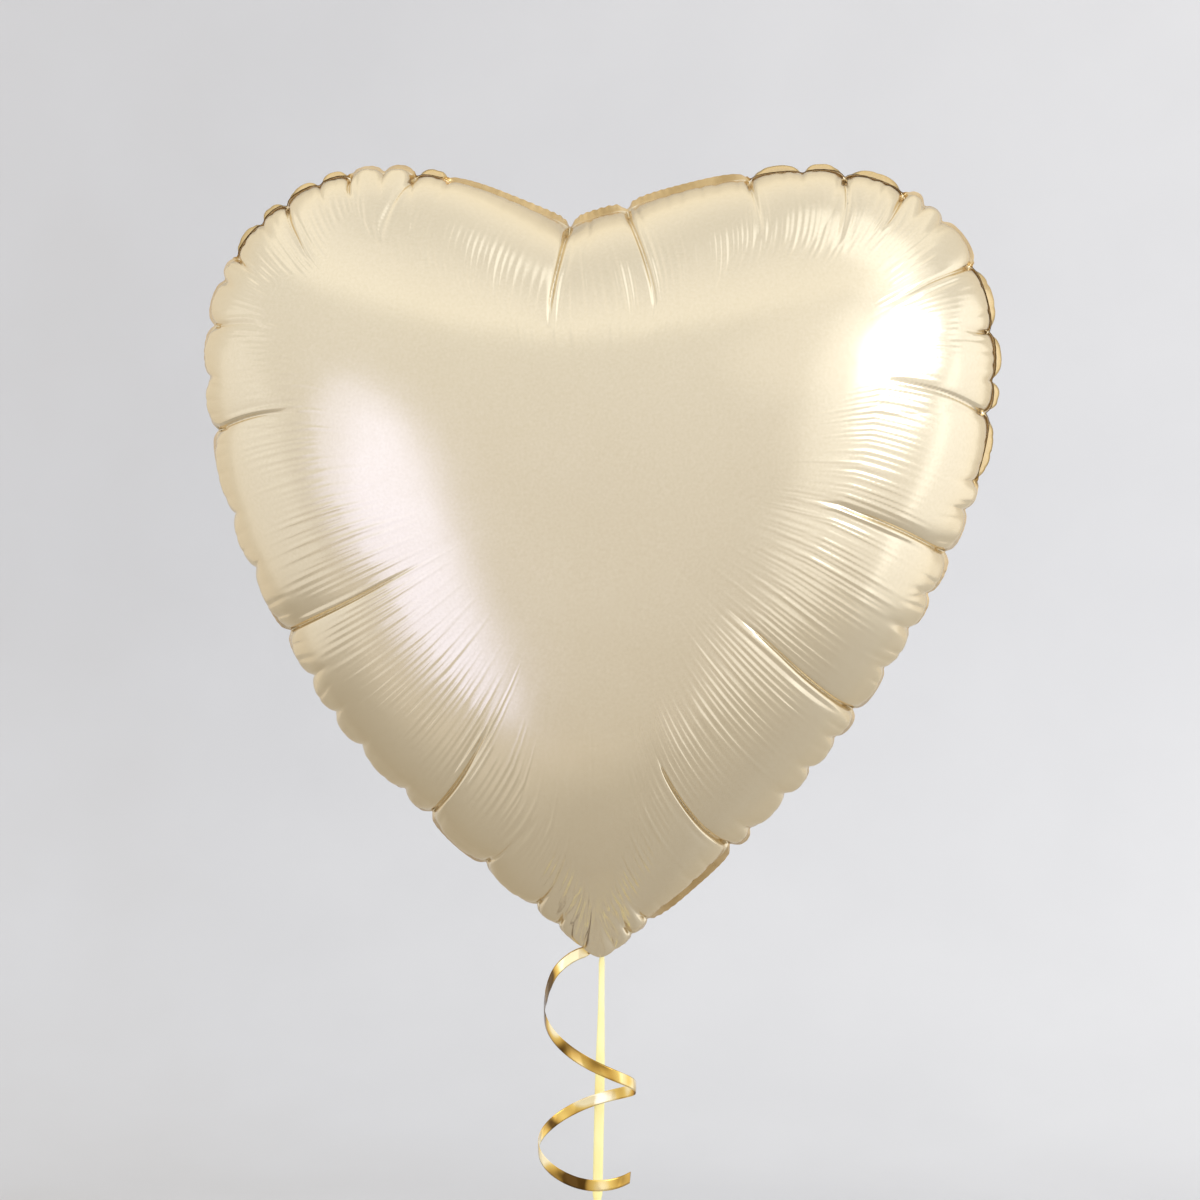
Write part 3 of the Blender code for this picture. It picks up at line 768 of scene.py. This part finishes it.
def ribbon_turns(name, node, material, turns, thickness):
    """Turns of ribbon wound tight round the neck, each bunched and a little aslant."""
    low, high = (np.array(v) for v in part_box(node))
    centre, reach = (low + high) / 2, (high - low) / 2
    t = np.linspace(0, 1, 70 * turns)
    swing = t * turns * math.tau
    radius = reach[0] - 0.4 * MM + 0.22 * MM * np.sin(swing * 0.77 + 1)
    drift = (t * 2 - 1) * 0.42 * reach[1] + 0.18 * reach[1] * np.sin(swing * 1.31)
    path = centre + np.stack([radius * np.cos(swing), drift, radius * np.sin(swing)], 1)
    across = np.stack([0.1 * np.sin(swing), np.ones(len(t)), 0.1 * np.cos(swing)], 1)
    obj = ribbon(name, path, across, material, width=1.15 * reach[1], thickness=thickness, gutter=0.16 * MM)
    stands_for(obj, "envelope", node)
    return obj


# ---- neck and tail


def pleat_pattern(angle):
    """The pleats round the gathered film, -1 to 1, sharper than a sine."""
    fold = 0.6 * np.sin(11 * angle + 0.8 * np.sin(2 * angle)) + 0.4 * np.sin(17 * angle + 1.1)
    return np.sign(fold) * np.abs(fold) ** 0.7


def neck(material):
    """The films of the tip drawn together into pleats, with a waist under each ribbon."""
    way = smooth_path(np.array(NECK_STATIONS) * (1, 1, 10), NECK_ROWS)
    angle = np.linspace(0, math.tau, NECK_COLUMNS, endpoint=False)
    sharp = pleat_pattern(angle)
    rings = []
    for k, (y, radius, pleat) in enumerate(way):
        r = radius * (1 + pleat / 10 * (sharp - 0.3)) * MM
        flat = 1 + 0.4 * math.exp(-((y / 4.0) ** 2))
        centre_z = NECK_Z + 1.2 * MM * math.exp(-((y / 3.2) ** 2))
        turn = angle + 0.03 * k / 10
        ring = flat * r * np.cos(turn), np.full(NECK_COLUMNS, y * MM), centre_z + r * np.sin(turn)
        rings.append(np.stack(ring, 1))
    points = np.stack(rings, 1)
    quads = grid_faces(NECK_COLUMNS, NECK_ROWS, True)
    obj = mesh_object("gathered_neck", points.reshape(-1, 3), [tuple(q[::-1]) for q in quads], [material])
    stands_for(obj, "envelope", "neck_gather")


def tail_line(out):
    """The tail's middle line, in mm out from the hinge: y and z, then y and z of the way off its plane."""
    steps = np.linspace(-6, TAIL_LENGTH, 500)
    turn = (math.pi / 2 - TAIL_LEAN) * smoothstep((steps + 3.2) / 5)
    gap = steps[1] - steps[0]
    y, z = np.cumsum(np.cos(turn)) * gap, np.cumsum(np.sin(turn)) * gap
    y, z = y - np.interp(0, steps, y), z - np.interp(0, steps, z)
    at = np.interp(out, steps, turn)
    return np.interp(out, steps, y), np.interp(out, steps, z), np.sin(at), -np.cos(at)


def tail_frame(out, across, lift):
    """Points of the tail: mm out from the hinge, mm across, and mm off its middle plane."""
    y, z, off_y, off_z = tail_line(out)
    place = np.stack([across + 0 * out, y + off_y * lift, z + off_z * lift], -1)
    return np.array(TAIL_HINGE) + place * MM


def tail_film(name, side, material):
    """One film of the tail: half of the pleated neck at its root, fanned out and open at its end."""
    angle = np.linspace(0, math.pi, 161)[:, None]
    out = np.linspace(-4.2, TAIL_LENGTH, 150)[None]
    share = np.clip(out / TAIL_LENGTH, 0, 1)
    root = bell(np.clip(out + 3, 0, None) / 7)
    corner = np.clip((share - 0.93) / 0.07, 0, 1)
    width = 2.3 + 11.2 * (1 - (1 - np.clip((out + 1) / 28, 0, 1)) ** 2) - 2.6 * corner**2
    belly = 0.45 + 2.3 * np.sin(math.pi * share**0.7) + 1.2 * share
    height = 2.3 * root + belly * (1 - root)
    pleats = pleat_pattern(side * angle)
    s = np.cos(angle)
    across = s * width * (1 + 0.10 * root * pleats)
    bow = np.sin(angle) ** (1.5 - 0.5 * root)
    fade = 0.23 * root + 0.55 * (1 - root) * np.exp(-np.clip(out, 0, None) / 16) + 0.07
    lift = side * bow * (height + pleats * fade)
    lift = lift + 1.1 * np.sin(s * 2.3 + 0.6) * share + 1.9 * share**2
    trim = 0.5 * np.sin(s * 7 + side) * corner
    points = tail_frame(out + trim, across, lift)
    quads = grid_faces(points.shape[0], points.shape[1], False)
    faces = [tuple(q) if side > 0 else tuple(q[::-1]) for q in quads]
    obj = mesh_object(name, points.reshape(-1, 3), faces, [material])
    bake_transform(obj)
    return obj


def valve_mouth(name, side, node, material):
    """One clear film of the valve where it comes out into the tail."""
    columns, rows = 31, 60
    s = np.linspace(-1, 1, columns)[:, None]
    out = np.linspace(*VALVE_MOUTH, rows)[None]
    share = out / VALVE_SPREAD
    width = 2.2 + 6.6 * (1 - (1 - share) ** 2)
    lift = side * (0.12 + 0.7 * (1 - s**2) * share) + 0.2 * np.sin(s * 5) * share
    shared = 1.1 * np.sin(s * 1.5 + 0.6) * out / TAIL_LENGTH + 1.9 * (out / TAIL_LENGTH) ** 2
    points = tail_frame(out + 0 * s, s * width, lift + shared)
    quads = grid_faces(columns, rows, False)
    obj = mesh_object(name, points.reshape(-1, 3), [tuple(q) for q in quads], [material])
    stands_for(obj, "tail", node)
    return obj


def tail(foil, gold_foil, clear):
    front = tail_film("tail_front", 1, foil)
    back = tail_film("tail_back", -1, gold_foil)
    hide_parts("tail_front_film")
    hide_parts("tail_back_film")
    valve_mouth("valve_mouth_front", 1, "tail_valve_front", clear)
    valve_mouth("valve_mouth_back", -1, "tail_valve_back", clear)


# ---- materials


def set_stops(ramp, stops):
    """Gives a colour ramp its stops, each a position and a linear colour."""
    while len(ramp.elements) < len(stops):
        ramp.elements.new(0.5)
    for element, (position, colour) in zip(ramp.elements, stops):
        element.position = position
        element.color = (*colour, 1)


class Nodes:
    """Shorthand for a material's node tree."""

    def __init__(self, name):
        self.material = bpy.data.materials.new(name)
        self.material.use_nodes = True
        self.tree = self.material.node_tree
        self.shader = self.tree.nodes["Principled BSDF"]
        self.place = self.tree.nodes.new("ShaderNodeTexCoord").outputs["Object"]

    def link(self, out, socket):
        self.tree.links.new(out, socket)

    def noise(self, scale, detail=2.0, roughness=0.5, stretch=None):
        made = self.tree.nodes.new("ShaderNodeTexNoise")
        made.inputs["Scale"].default_value = scale
        made.inputs["Detail"].default_value = detail
        made.inputs["Roughness"].default_value = roughness
        if stretch:
            mapping = self.tree.nodes.new("ShaderNodeMapping")
            mapping.inputs["Scale"].default_value = stretch
            self.link(self.place, mapping.inputs["Vector"])
            self.link(mapping.outputs["Vector"], made.inputs["Vector"])
        else:
            self.link(self.place, made.inputs["Vector"])
        return made.outputs["Fac"]

    def ramp(self, factor, *stops):
        """Colours from a factor. Each stop is a position and a linear colour."""
        made = self.tree.nodes.new("ShaderNodeValToRGB")
        set_stops(made.color_ramp, stops)
        self.link(factor, made.inputs["Fac"])
        return made.outputs["Color"]

    def mix(self, first, second, share):
        made = self.tree.nodes.new("ShaderNodeMix")
        made.inputs["Factor"].default_value = share
        self.link(first, made.inputs["A"])
        self.link(second, made.inputs["B"])
        return made.outputs["Result"]

    def add(self, first, second):
        made = self.tree.nodes.new("ShaderNodeMath")
        self.link(first, made.inputs[0])
        self.link(second, made.inputs[1])
        return made.outputs["Value"]

    def range(self, factor, low, high, start=0.3, end=0.7):
        made = self.tree.nodes.new("ShaderNodeMapRange")
        made.inputs["From Min"].default_value = start
        made.inputs["From Max"].default_value = end
        made.inputs["To Min"].default_value = low
        made.inputs["To Max"].default_value = high
        self.link(factor, made.inputs["Value"])
        return made.outputs["Result"]

    def bump(self, *layers):
        """Stacked bumps. Each layer is a height, its depth in metres and its strength."""
        normal = None
        for height, depth, strength in layers:
            made = self.tree.nodes.new("ShaderNodeBump")
            made.inputs["Distance"].default_value = depth
            made.inputs["Strength"].default_value = strength
            self.link(height, made.inputs["Height"])
            if normal:
                self.link(normal, made.inputs["Normal"])
            normal = made.outputs["Normal"]
        self.link(normal, self.shader.inputs["Normal"])

    def set(self, **values):
        for key, value in values.items():
            self.shader.inputs[key.replace("_", " ")].default_value = value


def satin_foil(name, low, high, edge):
    """Metallised film with a satin lacquer: softly blurred, with a fine grain."""
    n = Nodes(name)
    grain = n.mix(n.noise(14, 3, 0.55), n.noise(900, 1), 0.6)
    n.link(n.ramp(grain, (0.3, low), (0.7, high)), n.shader.inputs["Base Color"])
    n.link(n.range(n.noise(55, 4, 0.6), 0.19, 0.24), n.shader.inputs["Roughness"])
    n.set(Metallic=1.0, Specular_Tint=(*edge, 1))
    n.bump((n.noise(45, 2), 0.0003, 0.10))
    return n.material


def sealed_strip():
    """The heat-sealed strip: deeper gold, finely crumpled."""
    n = Nodes("sealed_strip_gold")
    n.link(n.ramp(n.noise(90, 3, 0.6), (0.35, (0.50, 0.35, 0.16)), (0.65, (0.64, 0.47, 0.24))),
           n.shader.inputs["Base Color"])
    n.link(n.range(n.noise(70, 3), 0.20, 0.32), n.shader.inputs["Roughness"])
    n.set(Metallic=1.0)
    n.bump((n.noise(900, 2), 0.00005, 0.3), (n.noise(240, 2), 0.0002, 0.35))
    return n.material


def gold_with_painted_reflections():
    """Mirror-gold curling ribbon: browner and paler along its length as painted reflections of dark and
    bright parts of the room, with the blade's faint lines.
    """
    n = Nodes("mirror_gold_ribbon_painted_reflections")
    # Painted reflections: near-black brown and pale gold patches in the base colour stand in for dark and
    # bright parts of the room mirrored in the ribbon.
    n.link(n.ramp(n.noise(55, 1), (0.38, (0.10, 0.05, 0.01)), (0.45, (0.55, 0.33, 0.07)),
                  (0.53, (0.78, 0.54, 0.15)), (0.61, (0.98, 0.86, 0.55))), n.shader.inputs["Base Color"])
    n.link(n.range(n.noise(120, 3), 0.08, 0.18), n.shader.inputs["Roughness"])
    n.set(Metallic=1.0)
    n.bump((n.noise(700, 2, stretch=(0.15, 0.15, 1.0)), 0.00008, 0.35))
    return n.material


def pale_finish():
    """Pale yellow ribbon: a glossy plastic strip, faintly see-through, with fine lines along it."""
    n = Nodes("pale_yellow_ribbon")
    tint = n.noise(45, 2)
    n.link(n.ramp(tint, (0.3, (0.92, 0.80, 0.32)), (0.7, (0.97, 0.89, 0.44))), n.shader.inputs["Base Color"])
    n.link(n.range(n.noise(80, 3), 0.28, 0.40), n.shader.inputs["Roughness"])
    n.set(Subsurface_Weight=0.15, Subsurface_Radius=(0.004, 0.003, 0.0015), Coat_Weight=0.3)
    n.bump((n.noise(900, 2, stretch=(1.0, 1.0, 0.08)), 0.0001, 0.4))
    return n.material


def clear_finish():
    """Clear valve film with a slight haze and shallow wrinkles."""
    n = Nodes("clear_valve_film")
    haze = n.noise(80, 3)
    n.link(n.ramp(haze, (0.3, (0.88, 0.90, 0.90)), (0.7, (0.97, 0.97, 0.95))), n.shader.inputs["Base Color"])
    n.link(n.range(n.noise(60, 2), 0.10, 0.24), n.shader.inputs["Roughness"])
    n.set(Alpha=0.42, IOR=1.45)
    n.bump((n.noise(160, 2), 0.0004, 0.6))
    return n.material


# ---- room and light


def backdrop():
    """A pale floor that curves up into a wall, far behind and well below, with painted shade darkening the
    floor beneath and behind the balloon and painted light brightening the wall to the right.
    """
    n = Nodes("room_with_painted_light")
    split = n.tree.nodes.new("ShaderNodeSeparateXYZ")
    n.link(n.place, split.inputs["Vector"])
    # Painted shade and light: the ramp darkens the floor beneath the balloon and lightens the room to the
    # right, as if lit from that side.
    height = n.range(split.outputs["Y"], 0.0, 0.88, -1.0, 3.0)
    painted_light_sideways = n.range(split.outputs["X"], -0.12, 0.12, -0.7, 0.7)
    plaster = n.range(n.noise(6, 3), -0.02, 0.02)
    n.link(n.ramp(n.add(n.add(height, painted_light_sideways), plaster), *ROOM_PAINTED_LIGHT_TONES), n.shader.inputs["Base Color"])
    n.set(Roughness=0.9)
    floor_z, wall_y, bend, half = -0.62, 3.2, 0.6, 1.5
    profile = [(-1.0, floor_z), (wall_y - bend, floor_z)]
    for k in range(1, 24):
        a = math.pi / 2 * k / 24
        profile.append((wall_y - bend + bend * math.sin(a), floor_z + bend * (1 - math.cos(a))))
    profile += [(wall_y, floor_z + bend), (wall_y, 1.9)]
    points = np.array([(x, y, z) for y, z in profile for x in (-half, half)])
    faces = [(2 * k, 2 * k + 1, 2 * k + 3, 2 * k + 2) for k in range(len(profile) - 1)]
    obj = mesh_object("room_sweep", points, faces, [n.material])


def area_light(name, azimuth, elevation, distance, size, radiance, colour):
    """A soft light seen from the balloon at this elevation and azimuth, from straight in front towards +X."""
    a, e = math.radians(azimuth), math.radians(elevation)
    away = Vector((math.sin(a) * math.cos(e), -math.cos(a) * math.cos(e), math.sin(e)))
    data = bpy.data.lights.new(name, "AREA")
    data.shape = "ELLIPSE"
    data.size, data.size_y = LIGHT_SPREAD * size[0], LIGHT_SPREAD * size[1]
    data.energy = radiance * math.pi * math.pi / 4 * data.size * data.size_y
    data.color = colour
    obj = bpy.data.objects.new(name, data)
    bpy.context.collection.objects.link(obj)
    obj.location = LIT_POINT + away * distance
    obj.rotation_euler = away.to_track_quat("Z", "Y").to_euler()


def room_light():
    """Even light from all round: a bright ceiling above about 38 degrees, pale walls and a darker floor."""
    world = bpy.data.worlds.new("room")
    bpy.context.scene.world = world
    world.use_nodes = True
    tree = world.node_tree
    place = tree.nodes.new("ShaderNodeTexCoord")
    split = tree.nodes.new("ShaderNodeSeparateXYZ")
    ramp = tree.nodes.new("ShaderNodeValToRGB")
    height = tree.nodes.new("ShaderNodeMapRange")
    height.inputs["From Min"].default_value = -1
    set_stops(ramp.color_ramp, AIR_TONES)
    tree.links.new(place.outputs["Generated"], split.inputs["Vector"])
    tree.links.new(split.outputs["Z"], height.inputs["Value"])
    tree.links.new(height.outputs["Result"], ramp.inputs["Fac"])
    tree.links.new(ramp.outputs["Color"], tree.nodes["Background"].inputs["Color"])


def build():
    make_camera()
    foil = satin_foil("satin_champagne_foil", *CHAMPAGNE)
    gold_foil = satin_foil("back_gold_foil", *BACK_GOLD)
    seal, gold, pale, clear = sealed_strip(), gold_with_painted_reflections(), pale_finish(), clear_finish()
    curl, curl_path = gold_curl(gold)
    curl_knot = tied_knot("curl_tied_knot", "curl_knot", "curl_top", gold, 0.3, KNOT_RISE)
    tether, tether_path = straight_tether(pale)
    tether_knot = tied_knot(
        "tether_tied_knot", "tether_knot", "tether_top", pale, 1.2, KNOT_RISE,
    )
    low_knot = tied_knot("loop_tied_knot", "loop_knot", "tether", pale, 2.1)
    band_loop(pale)
    envelope(foil, seal, gold_foil)
    neck(foil)
    ribbon_turns("curl_turns", "curl_wrap", gold, 3, 0.3 * MM)
    ribbon_turns("tether_turns", "tether_wrap", pale, 3, 0.3 * MM)
    tail(foil, gold_foil, clear)
    for node in ("valve_front_film", "valve_back_film"):
        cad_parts[node].data.materials.clear()
        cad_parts[node].data.materials.append(clear)
    backdrop()
    for light in LIGHTS:
        area_light(*light)
    room_light()
    bpy.context.scene.view_settings.view_transform = "Standard"


build()
